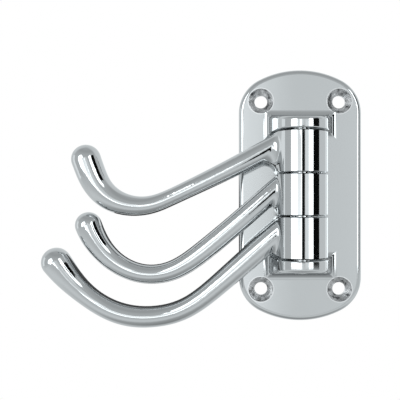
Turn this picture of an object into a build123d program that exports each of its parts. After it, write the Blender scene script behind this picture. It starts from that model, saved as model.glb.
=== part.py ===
from build123d import *
import math
import os

# Triple swivel hook: a cast wall plate with two hinge lugs, three cast hooks stacked as hinge knuckles between the
# lugs, and one vertical pin through all of them. Millimetres, +Z up.
# Origin: centre of the plate's back face, which lies against the wall (Y = 0). The front faces -Y.
# The hooks are modelled swung to the left (-X), parallel to the wall.

# ---------------------------------------------------------------- driving dimensions
PLATE_W = 45.5            # plate width (X)
PLATE_H = 93.0            # plate height (Z)
PLATE_T = 4.0             # plate thickness (Y)
END_R = 33.3              # large arc across each end of the plate
CORNER_R = 13.9           # arc that joins the end arc to the straight side
EDGE_R = 1.8              # rounding of the plate's front edge

HOLE_X = 29.1             # screw hole spacing across
HOLE_Z = 69.7             # screw hole spacing up
HOLE_D = 4.8              # screw clearance hole
CSK_D = 9.1               # countersink diameter at the front face, 90 degrees
CSK_LIP = 0.15            # straight lip of the countersink at the face

PIN_Y = -14.2             # pin axis, in front of the wall
PIN_D = 6.0               # hinge pin
RUN_CLEAR = 0.05          # radial running clearance between the pin and a knuckle's bore
KNUCKLE_R = 9.2           # outer radius of knuckles and of the lugs' round fronts
KNUCKLE_H = 14.70         # height of one knuckle
GAP = 0.35                # axial gap at each of the two joints between knuckles
END_GAP = 0.50            # axial gap between an end knuckle and its lug
END_BEVEL_R = 0.60        # bevel around a knuckle's two ends, measured across
END_BEVEL_H = 0.35        # the same bevel, measured along the pin

LUG_ROOT_HALF = 11.6      # half width of a lug where it meets the plate
LUG_ROOT_Z = 29.3         # height of a lug's outer face at the plate's front face
LUG_DRAFT = 7.4           # degrees that the outer face slopes towards the joint as it comes forward
LUG_NOSE_EDGE = 1.3       # rounding around a lug's outer face
LUG_EDGE = 0.5            # rounding around a lug's inner face
LUG_FILLET = 2.4          # fillet at the lug's root

NECK_CUT_R = 10.8         # radius around the pin within which a hook keeps to its own knuckle's height

# Fillet between an arm and its knuckle, one for each hook.
ARM_FILLET = {"upper": 3.8, "middle": 1.5, "lower": 1.5}

# The knuckle's lower end is ground away at a slope under the arm, from a chord across that end:
# (reach of the chord from the pin axis, degrees that the ground face rises outwards from it).
NECK_RELIEF = {"upper": (8.3, 42.0), "middle": (8.1, 57.0), "lower": (6.6, 27.0)}
RELIEF_SKIN = 0.06        # the grinding stops this far from the arm itself

# Stations along each arm's centreline: (reach from the pin axis, height above the plate's centre, tube radius).
UPPER_ARM = [
    (4.60, 20.16, 3.52), (9.60, 17.53, 3.51), (15.60, 14.37, 3.49), (22.29, 10.85, 3.42), (30.55, 6.68, 3.26),
    (39.60, 2.32, 3.08), (48.20, -1.68, 3.04), (56.06, -3.92, 3.34), (63.30, -3.28, 3.90), (69.20, -0.30, 4.47),
    (73.50, 5.10, 4.95), (75.60, 10.05, 5.12), (76.50, 12.55, 5.16),
]
MIDDLE_ARM = [
    (3.40, 7.00, 3.68), (8.40, 2.70, 3.67), (15.13, -3.07, 3.66), (22.11, -9.20, 3.67), (29.20, -15.22, 3.70),
    (36.90, -21.40, 3.67), (45.95, -26.80, 3.50), (56.30, -27.93, 3.38), (65.50, -24.22, 3.60),
    (71.80, -18.05, 4.18), (74.70, -13.10, 4.58), (75.65, -10.80, 4.66),
]
LOWER_ARM = [
    (3.30, -8.95, 4.16), (8.20, -13.10, 4.15), (14.10, -18.15, 4.11), (21.20, -24.42, 4.00), (29.20, -31.40, 3.78),
    (38.00, -38.28, 3.68), (47.63, -42.38, 3.72), (57.80, -43.20, 3.80), (68.60, -40.42, 3.76),
    (77.60, -34.45, 3.95), (83.30, -28.70, 4.74), (85.85, -25.50, 5.12), (87.05, -23.95, 5.22),
]

# ---------------------------------------------------------------- derived
PITCH = KNUCKLE_H + GAP
LUG_IN = 1.5 * KNUCKLE_H + GAP + END_GAP          # height of each lug's inner face
PLATE_FRONT = -PLATE_T
ZS = {"upper": PITCH, "middle": 0.0, "lower": -PITCH}


def plate_outline():
    """The plate's outline in the XZ plane: an end arc, corner arcs and straight sides, the same at both ends."""
    hw, hh = PLATE_W / 2, PLATE_H / 2
    xc = hw - CORNER_R
    zc = hh - END_R + math.sqrt((END_R - CORNER_R) ** 2 - xc ** 2)
    tx = xc / (END_R - CORNER_R) * END_R
    tz = hh - END_R + (zc - (hh - END_R)) / (END_R - CORNER_R) * END_R
    a0 = math.atan2(tz - zc, tx - xc)
    mx, mz = xc + CORNER_R * math.cos(a0 / 2), zc + CORNER_R * math.sin(a0 / 2)
    pts = [(tx, tz), (mx, mz), (hw, zc)]
    edges = [
        ThreePointArc((-tx, tz), (0, hh), (tx, tz)),
        ThreePointArc(*pts),
        Line((hw, zc), (hw, -zc)),
        ThreePointArc((hw, -zc), (mx, -mz), (tx, -tz)),
        ThreePointArc((tx, -tz), (0, -hh), (-tx, -tz)),
        ThreePointArc((-tx, -tz), (-mx, -mz), (-hw, -zc)),
        Line((-hw, -zc), (-hw, zc)),
        ThreePointArc((-hw, zc), (-mx, mz), (-tx, tz)),
    ]
    return make_face(edges)


def cyl(r, z0, z1, x=0.0, y=PIN_Y):
    return Pos(x, y, (z0 + z1) / 2) * Cylinder(r, z1 - z0)


def lug(sign):
    """One lug: a round front about the pin axis, flared side walls down to the plate, a sloping outer face."""
    c = Vector(0, PIN_Y)
    rx, ry = LUG_ROOT_HALF, PLATE_FRONT
    dx, dy = rx - c.X, ry - c.Y
    d = math.hypot(dx, dy)
    base = math.atan2(dy, dx)
    ang = base - math.acos(KNUCKLE_R / d)
    tx, ty = KNUCKLE_R * math.cos(ang), c.Y + KNUCKLE_R * math.sin(ang)
    y_in = PLATE_FRONT + 1.0
    edges = [
        Line((-rx, y_in), (rx, y_in)),
        Line((rx, y_in), (rx, ry)),
        Line((rx, ry), (tx, ty)),
        ThreePointArc((tx, ty), (0, c.Y - KNUCKLE_R), (-tx, ty)),
        Line((-tx, ty), (-rx, ry)),
        Line((-rx, ry), (-rx, y_in)),
    ]
    body = extrude(Pos(0, 0, LUG_IN) * make_face(edges), amount=LUG_ROOT_Z + 1.0 - LUG_IN)
    # the outer face slopes down as it comes forward of the plate
    cutter = Pos(0, PLATE_FRONT, LUG_ROOT_Z) * (Rot(LUG_DRAFT, 0, 0) * (Pos(0, -15, 10) * Box(60, 50, 20)))
    body = body - cutter
    if sign < 0:
        body = mirror(body, about=Plane.XY)
    return body


def tube(stations):
    """Round arm of changing radius through the stations, in the plane Y = PIN_Y, ending in a ball."""
    pts = [Vector(-s[0], PIN_Y, s[1]) for s in stations]
    path = Spline(pts)
    sections = []
    last = None
    for p, s in zip(pts, stations):
        t = path.tangent_at(path.param_at_point(p))
        pl = Plane(origin=p, x_dir=(0, 1, 0), z_dir=t)
        sections.append(pl * Circle(s[2]))
        last = (p, t, s[2], pl)
    body = loft(sections)
    p, t, r, pl = last
    ball = Pos(*p) * Sphere(r)
    half = ball & (pl * Pos(0, 0, 10) * Box(30, 30, 20))
    return body, half


def on_knuckle(e):
    """True for an edge that lies on the knuckle's round surface and isn't one of its end circles."""
    for u in (0.05, 0.3, 0.5, 0.7, 0.95):
        q = e @ u
        if abs(math.hypot(q.X, q.Y - PIN_Y) - KNUCKLE_R) > 0.02:
            return False
    b = e.bounding_box()
    if b.size.Z < 0.01:
        return False
    if b.size.X < 0.01 and b.size.Y < 0.01:
        return False
    return True


def hook(name, stations):
    zc = ZS[name]
    z0, z1 = zc - KNUCKLE_H / 2, zc + KNUCKLE_H / 2
    arm, half = tube(stations)
    long_knuckle = cyl(KNUCKLE_R, z0 - 12, z1 + 9)
    body = long_knuckle + arm
    seams = [e for e in body.edges() if on_knuckle(e)]
    body = fillet(seams, ARM_FILLET[name])
    body = body + half
    # the ground corner under the neck, which stays off the arm itself
    reach, slope = NECK_RELIEF[name]
    wedge = Pos(-reach, PIN_Y, z0) * (Rot(0, slope, 0) * (Pos(-5, 0, -6) * Box(10, 40, 12)))
    wedge = wedge & cyl(NECK_CUT_R, z0 - 12, z1)
    fat_arm, _ = tube([(s[0], s[1], s[2] + RELIEF_SKIN) for s in stations])
    body = body - (wedge - fat_arm)
    # the knuckle's true height, with both ends bevelled; the bevel's cone runs on past the wall into the neck
    fall = END_BEVEL_H * (1 + 0.8 / END_BEVEL_R)
    for s, z in ((1, z1), (-1, z0)):
        prof = Polyline(
            (0, z), (KNUCKLE_R - END_BEVEL_R, z), (KNUCKLE_R + 0.8, z - s * fall), (NECK_CUT_R, z - s * fall),
            (NECK_CUT_R, z + s * 15), (0, z + s * 15), (0, z),
        )
        face = make_face(Plane.XZ * prof)
        tool = Pos(0, PIN_Y, 0) * revolve(face, Axis.Z, 360)
        body = body - tool
    body = body - cyl(PIN_D / 2 + RUN_CLEAR, z0 - 1, z1 + 1)
    return body


def lug_rim(body, outer):
    """The free edges around a lug's outer face, or around its inner face, without the short corner edges."""
    rim = []
    for e in body.edges():
        b = e.bounding_box()
        if b.max.Y > PLATE_FRONT - LUG_FILLET * 0.7 or b.size.length < 3.0:
            continue
        if b.min.Y > PLATE_FRONT - LUG_FILLET - 0.6:
            continue
        if outer and abs(e.center().Z) > LUG_IN + 1.5 and b.size.Z < 2.5:
            rim.append(e)
        if not outer and abs(abs(e.center().Z) - LUG_IN) < 0.05 and b.size.Z < 0.05:
            rim.append(e)
    return rim


def backplate():
    plate = extrude(Plane.XZ * plate_outline(), amount=PLATE_T)
    front = plate.faces().sort_by(Axis.Y)[0]
    plate = fillet(front.edges(), EDGE_R)
    for s in (1, -1):
        plate = plate + lug(s)
    root = []
    for e in plate.edges():
        b = e.bounding_box()
        if abs(b.min.Y - PLATE_FRONT) < 0.01 and abs(b.max.Y - PLATE_FRONT) < 0.01:
            q = e @ 0.5
            if abs(q.X) < LUG_ROOT_HALF + 0.1 and LUG_IN - 0.1 < abs(q.Z) < LUG_ROOT_Z + 0.1:
                root.append(e)
    plate = fillet(root, LUG_FILLET)
    # the outer face's rim first, then the narrower rounding of the inner face's rim
    plate = fillet(lug_rim(plate, True), LUG_NOSE_EDGE)
    plate = fillet(lug_rim(plate, False), LUG_EDGE)
    for sx in (-1, 1):
        for sz in (-1, 1):
            hole = Pos(sx * HOLE_X / 2, 0, sz * HOLE_Z / 2) * Rot(90, 0, 0)
            depth = (CSK_D - HOLE_D) / 2
            plate = plate - hole * Pos(0, 0, PLATE_T / 2) * Cylinder(HOLE_D / 2, PLATE_T + 2)
            plate = plate - hole * Pos(0, 0, PLATE_T - CSK_LIP - depth / 2) * Cone(HOLE_D / 2, CSK_D / 2, depth)
            plate = plate - hole * Pos(0, 0, PLATE_T - CSK_LIP / 2 + 0.5) * Cylinder(CSK_D / 2, CSK_LIP + 1.0)
    plate = plate - cyl(PIN_D / 2, -60, 60)
    return plate


def hinge_pin():
    top = LUG_ROOT_Z - math.tan(math.radians(LUG_DRAFT)) * (abs(PIN_Y) - PLATE_T + PIN_D / 2) - 0.15
    pin = cyl(PIN_D / 2, -top, top)
    ends = pin.edges().filter_by(GeomType.CIRCLE)
    return chamfer(ends, 0.35)


os.makedirs("parts", exist_ok=True)
PARTS = {
    "backplate": backplate(),
    "upper_hook": hook("upper", UPPER_ARM),
    "middle_hook": hook("middle", MIDDLE_ARM),
    "lower_hook": hook("lower", LOWER_ARM),
    "hinge_pin": hinge_pin(),
}
for node, shape in PARTS.items():
    print(node, "solids", len(shape.solids()), "volume", round(shape.volume, 1), "valid", shape.is_valid)
    export_step(shape, f"parts/{node}.step")
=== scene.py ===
import math

import bpy
import bmesh
import numpy as np
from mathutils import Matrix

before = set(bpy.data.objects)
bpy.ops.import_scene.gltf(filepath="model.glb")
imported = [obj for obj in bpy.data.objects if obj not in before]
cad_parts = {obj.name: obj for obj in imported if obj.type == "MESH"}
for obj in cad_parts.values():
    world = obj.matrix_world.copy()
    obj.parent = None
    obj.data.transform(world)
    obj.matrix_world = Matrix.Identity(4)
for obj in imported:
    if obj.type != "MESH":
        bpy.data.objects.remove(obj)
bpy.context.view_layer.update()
scene = bpy.context.scene
scene.view_settings.view_transform = "Standard"
scene.view_settings.look = "None"
scene.view_settings.exposure = 0.0
scene.view_settings.gamma = 1.0
scene.cycles.max_bounces = 16
scene.cycles.glossy_bounces = 14      # the plate, barrel and arms mirror each other many times over

# ---------------------------------------------------------------- camera
# Square to the plate, 240.5 mm in front of the plate's face. Small shifts put the object where the picture has it.
cam_data = bpy.data.cameras.new("camera")
cam_data.sensor_width = 36.0
cam_data.lens = 58.5
cam_data.shift_x = -0.145
cam_data.shift_y = 0.0125
cam = bpy.data.objects.new("camera", cam_data)
cam.location = (-0.01561, -0.2445, -0.00364)
cam.rotation_euler = (math.pi / 2, 0, 0)
scene.collection.objects.link(cam)
scene.camera = cam

AXIS_Y = -0.0142            # the hinge pin's axis, in front of the wall


# ---------------------------------------------------------------- stage: tent, cards, floor
def emitter(name, colour, strength):
    m = bpy.data.materials.new(name)
    m.use_nodes = True
    nt = m.node_tree
    nt.nodes.clear()
    out = nt.nodes.new("ShaderNodeOutputMaterial")
    em = nt.nodes.new("ShaderNodeEmission")
    em.inputs["Color"].default_value = (*colour, 1)
    em.inputs["Strength"].default_value = strength
    nt.links.new(em.outputs[0], out.inputs["Surface"])
    return m


def lin(v):
    """Linear light of a display value from 0 to 255."""
    c = v / 255.0
    return c / 12.92 if c <= 0.04045 else ((c + 0.055) / 1.055) ** 2.4


CHROME_Y = 0.60             # share of light that the plating gives back, for setting the cards


def stage_mesh(name, verts, faces, mat, camera=False, glossy=True):
    me = bpy.data.meshes.new(name)
    me.from_pydata(verts, [], faces)
    me.materials.append(mat)
    o = bpy.data.objects.new(name, me)
    scene.collection.objects.link(o)
    o.visible_camera = camera
    o.visible_glossy = glossy
    o.visible_shadow = False
    return o


def card(name, az0, az1, el0, el1, value, radius=0.90, tint=(0.965, 1.0, 1.01), along="X"):
    """A curved reflector card round the hinge axis. Azimuth 0 is the front, positive to the right, in degrees.

    el1 is the top's elevation, or a list of (azimuth, elevation) for a shaped top. value is the display grey it
    should give on the plating, or evenly spaced values for a card that changes to the right (along X) or upward (Z).
    """
    n = max(2, int(abs(az1 - az0) / 1.5))
    verts, faces = [], []
    for i in range(n + 1):
        a = math.radians(az0 + (az1 - az0) * i / n)
        x, y = radius * math.sin(a), AXIS_Y - radius * math.cos(a)
        verts.append((x, y, radius * math.tan(math.radians(el0))))
        top = el1
        if isinstance(el1, list):
            top = float(np.interp(math.degrees(a), [k[0] for k in el1], [k[1] for k in el1]))
        verts.append((x, y, radius * math.tan(math.radians(top))))
    for i in range(n):
        faces.append((2 * i, 2 * i + 1, 2 * i + 3, 2 * i + 2))
    if isinstance(value, tuple):
        mat = emitter(name, tint, 1.0 / CHROME_Y)
        nt = mat.node_tree
        em = next(k for k in nt.nodes if k.type == "EMISSION")
        tc = nt.nodes.new("ShaderNodeTexCoord")
        sep = nt.nodes.new("ShaderNodeSeparateXYZ")
        ramp = nt.nodes.new("ShaderNodeValToRGB")
        e = ramp.color_ramp.elements
        e[0].position, e[1].position = 0.0, 1.0
        for i in range(1, len(value) - 1):
            e.new(i / (len(value) - 1))
        for k, v in zip(sorted(e, key=lambda k: k.position), value):
            k.color = (*(lin(v) * t for t in tint), 1)
        nt.links.new(tc.outputs["Generated"], sep.inputs[0])
        nt.links.new(sep.outputs[along], ramp.inputs["Fac"])
        nt.links.new(ramp.outputs["Color"], em.inputs["Color"])
    else:
        mat = emitter(name, tint, lin(value) / CHROME_Y)
    return stage_mesh(name, verts, faces, mat)


def tent():
    """A closed tent of soft light: its brightness changes with height, and it is lighter behind the object."""
    m = bpy.data.materials.new("tent_light")
    m.use_nodes = True
    nt = m.node_tree
    nt.nodes.clear()
    out = nt.nodes.new("ShaderNodeOutputMaterial")
    em = nt.nodes.new("ShaderNodeEmission")
    geo = nt.nodes.new("ShaderNodeNewGeometry")
    norm = nt.nodes.new("ShaderNodeVectorMath")
    norm.operation = "NORMALIZE"
    sep = nt.nodes.new("ShaderNodeSeparateXYZ")
    asin = nt.nodes.new("ShaderNodeMath")
    asin.operation = "ARCSINE"
    rng = nt.nodes.new("ShaderNodeMapRange")
    rng.inputs["From Min"].default_value = -math.pi / 2
    rng.inputs["From Max"].default_value = math.pi / 2
    ramp = nt.nodes.new("ShaderNodeValToRGB")
    ramp.color_ramp.interpolation = "EASE"
    def fill(r, stops):
        el = r.color_ramp.elements
        while len(el) > 1:
            el.remove(el[-1])
        for i, (deg, v) in enumerate(stops):
            e = el[0] if i == 0 else el.new((deg + 90) / 180)
            e.position = (deg + 90) / 180
            k = lin(v) / CHROME_Y
            e.color = (k * 0.965, k, k * 1.01, 1)

    fill(ramp, [(-90, 128), (-62, 146), (-36, 192), (-14, 176), (10, 172), (30, 164), (60, 150), (90, 158)])
    back = nt.nodes.new("ShaderNodeValToRGB")
    back.color_ramp.interpolation = "EASE"
    fill(back, [(-90, 128), (-66, 178), (-40, 186), (0, 196), (40, 192), (66, 186), (90, 158)])
    side = nt.nodes.new("ShaderNodeMapRange")
    side.interpolation_type = "SMOOTHSTEP"
    side.inputs["From Min"].default_value = -0.10
    side.inputs["From Max"].default_value = 0.30
    mix = nt.nodes.new("ShaderNodeMix")
    mix.data_type = "RGBA"
    ins = [k for k in mix.inputs if k.enabled]
    nt.links.new(geo.outputs["Position"], norm.inputs[0])
    nt.links.new(norm.outputs[0], sep.inputs[0])
    nt.links.new(sep.outputs["Z"], asin.inputs[0])
    nt.links.new(asin.outputs[0], rng.inputs["Value"])
    nt.links.new(rng.outputs[0], ramp.inputs["Fac"])
    nt.links.new(rng.outputs[0], back.inputs["Fac"])
    nt.links.new(sep.outputs["Y"], side.inputs["Value"])
    nt.links.new(side.outputs[0], ins[0])
    nt.links.new(ramp.outputs["Color"], ins[1])
    nt.links.new(back.outputs["Color"], ins[2])
    nt.links.new([k for k in mix.outputs if k.enabled][0], em.inputs["Color"])
    nt.links.new(em.outputs[0], out.inputs["Surface"])
    bm = bmesh.new()
    bmesh.ops.create_icosphere(bm, subdivisions=5, radius=2.0)
    me = bpy.data.meshes.new("tent")
    bm.to_mesh(me)
    bm.free()
    me.materials.append(m)
    o = bpy.data.objects.new("tent", me)
    scene.collection.objects.link(o)
    o.visible_camera = False
    o.visible_shadow = False
    return o


def floor():
    m = bpy.data.materials.new("pale_floor")
    m.use_nodes = True
    b = m.node_tree.nodes["Principled BSDF"]
    b.inputs["Base Color"].default_value = (0.9, 0.9, 0.9, 1)
    b.inputs["Roughness"].default_value = 0.8
    b.inputs["Emission Color"].default_value = (1, 1, 1, 1)
    b.inputs["Emission Strength"].default_value = 0.45
    z, r, n = -0.20, 0.40, 96
    verts = [(r * math.cos(2 * math.pi * i / n), r * math.sin(2 * math.pi * i / n), z) for i in range(n)]
    return stage_mesh("floor", verts, [tuple(range(n))], m, camera=True, glossy=False)


world = bpy.data.worlds.new("studio")
scene.world = world
world.use_nodes = True
world.node_tree.nodes["Background"].inputs["Color"].default_value = (1, 1, 1, 1)
world.node_tree.nodes["Background"].inputs["Strength"].default_value = 1.0

tent()
floor()
LO, HI = -7.2, 9.2
card("card_left_far", -150, -104, -24, 26, 186)
card("card_left_light", -104, -84, -16, 18, 214)
card("card_left_grey", -84, -53, -14, 24, 168)
card("card_left_white", -52, -6.2, LO,
     [(-52, 14), (-46, 22), (-38, 28), (-30, 30), (-24, 27), (-20, 20), (-16, 12), (-12, HI)], 322)
card("card_left_soft", -24.5, -13, -4.0, 12.5, (256, 196), radius=0.86, along="Z")
card("card_left_soft_2", -13, -8, -4.0, 7.5, (256, 206), radius=0.86, along="Z")
card("card_front", -6.2, 12, -16, 18, (232, 214, 191, 193, 198))
card("card_front_2", 12, 26, LO, HI, 212)
card("card_right_white", 26, 46, LO, [(26, 20), (30, 29), (36, 33), (46, 35)], 322)
card("card_right_black", 46.5, 77, LO, [(46, 30), (60, 34), (77, 38)], 8)
card("card_right_grey", 77.5, 119, -16, 18, 186)
card("card_right_light", 120, 156, -16, 18, 214)

# the thin dark bar in front of the knuckles, just outside the reach of the arms
bar_mat = emitter("bar_black", (1, 1, 1), 0.006)
bx0, bx1, by, bz0, bz1 = -0.0059, 0.0135, -0.112, -0.0300, 0.0330
stage_mesh("front_bar", [(bx0, by, bz0), (bx1, by, bz0), (bx1, by, bz1), (bx0, by, bz1)], [(0, 1, 2, 3)], bar_mat)

# a dark grey sheet just behind the three arms, as wide as they are, standing in for the shade between them: from the
# front only their facing edges mirror it, as painted shade along those edges
UPPER_SIDE = [(-0.0240, 0.0100), (-0.0305, 0.0067), (-0.0396, 0.0023), (-0.0482, -0.0017), (-0.0560, -0.0039),
              (-0.0633, -0.0033), (-0.0680, -0.0020)]
LOWER_SIDE = [(-0.0800, -0.0300), (-0.0776, -0.0345), (-0.0686, -0.0404), (-0.0578, -0.0432),
              (-0.0476, -0.0424), (-0.0380, -0.0383), (-0.0292, -0.0314), (-0.0240, -0.0268)]
shade_sheet_mat = emitter("painted_shade_sheet", (0.965, 1.0, 1.01), 0.085)
outline = [(x, 0.004, z) for x, z in UPPER_SIDE + LOWER_SIDE]
stage_mesh("shade_sheet", outline, [tuple(range(len(outline)))], shade_sheet_mat)


# ---------------------------------------------------------------- materials
def chrome(name, roughness, waviness, tint=(0.585, 0.602, 0.610)):
    m = bpy.data.materials.new(name)
    m.use_nodes = True
    nt = m.node_tree
    b = nt.nodes["Principled BSDF"]
    b.inputs["Metallic"].default_value = 1.0
    tc = nt.nodes.new("ShaderNodeTexCoord")
    # slow colour drift of the plating
    n1 = nt.nodes.new("ShaderNodeTexNoise")
    n1.inputs["Scale"].default_value = 28.0
    n1.inputs["Detail"].default_value = 3.0
    ramp = nt.nodes.new("ShaderNodeValToRGB")
    e = ramp.color_ramp.elements
    e[0].position, e[1].position = 0.35, 0.68
    e[0].color = (tint[0] * 0.985, tint[1] * 0.985, tint[2] * 0.985, 1)
    e[1].color = (tint[0], tint[1] * 1.002, tint[2] * 1.006, 1)
    nt.links.new(tc.outputs["Object"], n1.inputs["Vector"])
    nt.links.new(n1.outputs["Fac"], ramp.inputs["Fac"])
    nt.links.new(ramp.outputs["Color"], b.inputs["Base Color"])
    # handling haze in the gloss
    n2 = nt.nodes.new("ShaderNodeTexNoise")
    n2.inputs["Scale"].default_value = 160.0
    n2.inputs["Detail"].default_value = 5.0
    r2 = nt.nodes.new("ShaderNodeMapRange")
    r2.inputs["From Min"].default_value = 0.35
    r2.inputs["From Max"].default_value = 0.75
    r2.inputs["To Min"].default_value = roughness * 0.85
    r2.inputs["To Max"].default_value = roughness * 1.3
    nt.links.new(tc.outputs["Object"], n2.inputs["Vector"])
    nt.links.new(n2.outputs["Fac"], r2.inputs["Value"])
    nt.links.new(r2.outputs[0], b.inputs["Roughness"])
    # the casting's slight unevenness under the polish
    n3 = nt.nodes.new("ShaderNodeTexNoise")
    n3.inputs["Scale"].default_value = 110.0
    n3.inputs["Detail"].default_value = 1.5
    bump = nt.nodes.new("ShaderNodeBump")
    bump.inputs["Strength"].default_value = waviness
    bump.inputs["Distance"].default_value = 0.0002
    nt.links.new(tc.outputs["Object"], n3.inputs["Vector"])
    nt.links.new(n3.outputs["Fac"], bump.inputs["Height"])
    nt.links.new(bump.outputs["Normal"], b.inputs["Normal"])
    return m


def machined_rings(m, centres, radius):
    """Darker, rougher, ring-turned metal inside the given circles of the plate's front (X and Z of each centre)."""
    nt = m.node_tree
    b = nt.nodes["Principled BSDF"]
    tc = nt.nodes.new("ShaderNodeTexCoord")
    sep = nt.nodes.new("ShaderNodeSeparateXYZ")
    nt.links.new(tc.outputs["Object"], sep.inputs[0])

    def math_node(op, a, bb=None):
        n = nt.nodes.new("ShaderNodeMath")
        n.operation = op
        for i, v in enumerate((a, bb)):
            if v is None:
                continue
            if isinstance(v, (int, float)):
                n.inputs[i].default_value = v
            else:
                nt.links.new(v, n.inputs[i])
        return n.outputs[0]

    ax = math_node("SUBTRACT", math_node("ABSOLUTE", sep.outputs["X"]), centres[0])
    az = math_node("SUBTRACT", math_node("ABSOLUTE", sep.outputs["Z"]), centres[1])
    r = math_node("SQRT", math_node("ADD", math_node("MULTIPLY", ax, ax), math_node("MULTIPLY", az, az)))
    mask = math_node("LESS_THAN", r, radius)
    # turned marks: fine rings, broken up by noise
    rings = math_node("SINE", math_node("MULTIPLY", r, 2 * math.pi / 0.00022))
    speck = nt.nodes.new("ShaderNodeTexNoise")
    speck.inputs["Scale"].default_value = 900.0
    speck.inputs["Detail"].default_value = 2.0
    nt.links.new(tc.outputs["Object"], speck.inputs["Vector"])
    height = math_node("ADD", math_node("MULTIPLY", rings, 0.5), math_node("MULTIPLY", speck.outputs["Fac"], 1.8))
    height = math_node("MULTIPLY", height, mask)
    bump = nt.nodes.new("ShaderNodeBump")
    bump.inputs["Strength"].default_value = 0.6
    bump.inputs["Distance"].default_value = 0.00006
    old = b.inputs["Normal"].links[0].from_socket
    nt.links.new(old, bump.inputs["Normal"])
    nt.links.new(height, bump.inputs["Height"])
    nt.links.new(bump.outputs["Normal"], b.inputs["Normal"])
    # thin plating and cutter chatter: dark and bright flecks on the cone
    fleck = nt.nodes.new("ShaderNodeTexNoise")
    fleck.inputs["Scale"].default_value = 520.0
    fleck.inputs["Detail"].default_value = 2.5
    nt.links.new(tc.outputs["Object"], fleck.inputs["Vector"])
    tone = nt.nodes.new("ShaderNodeValToRGB")
    e = tone.color_ramp.elements
    e[0].position, e[1].position = 0.34, 0.70
    e[0].color, e[1].color = (0.10, 0.105, 0.11, 1), (0.86, 0.87, 0.88, 1)
    for at, c in ((0.44, 0.44), (0.58, 0.56)):
        k = e.new(at)
        k.color = (c, c * 1.015, c * 1.03, 1)
    nt.links.new(fleck.outputs["Fac"], tone.inputs["Fac"])
    # painted highlight: a brighter ring of plating round each countersink, standing in for the light its rounded lip
    # catches
    lip_highlight = math_node("MULTIPLY", math_node("LESS_THAN", r, radius + 0.00036), math_node("SUBTRACT", 1.0, mask))
    for socket, where, value in (("Base Color", lip_highlight, (0.74, 0.75, 0.76, 1)), ("Base Color", mask, tone.outputs["Color"]),
                                 ("Roughness", mask, 0.22)):
        old = b.inputs[socket].links[0].from_socket
        mix = nt.nodes.new("ShaderNodeMix")
        mix.data_type = "RGBA" if socket == "Base Color" else "FLOAT"
        ins = [k for k in mix.inputs if k.enabled]
        nt.links.new(where, ins[0])
        nt.links.new(old, ins[1])
        if isinstance(value, (int, float, tuple)):
            ins[2].default_value = value
        else:
            nt.links.new(value, ins[2])
        out = [k for k in mix.outputs if k.enabled][0]
        nt.links.new(out, b.inputs[socket])


HOOK_CHROME = chrome("hook_chrome", 0.045, 0.15)
PLATE_CHROME = chrome("plate_chrome", 0.07, 0.10)
machined_rings(PLATE_CHROME, (0.01455, 0.03485), 0.00458)
PIN_CHROME = chrome("pin_chrome", 0.16, 0.2)


def dress(node, mat):
    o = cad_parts[node]
    o.data.materials.clear()
    o.data.materials.append(mat)


dress("backplate", PLATE_CHROME)
dress("upper_hook", HOOK_CHROME)
dress("middle_hook", HOOK_CHROME)
dress("lower_hook", HOOK_CHROME)
dress("hinge_pin", PIN_CHROME)
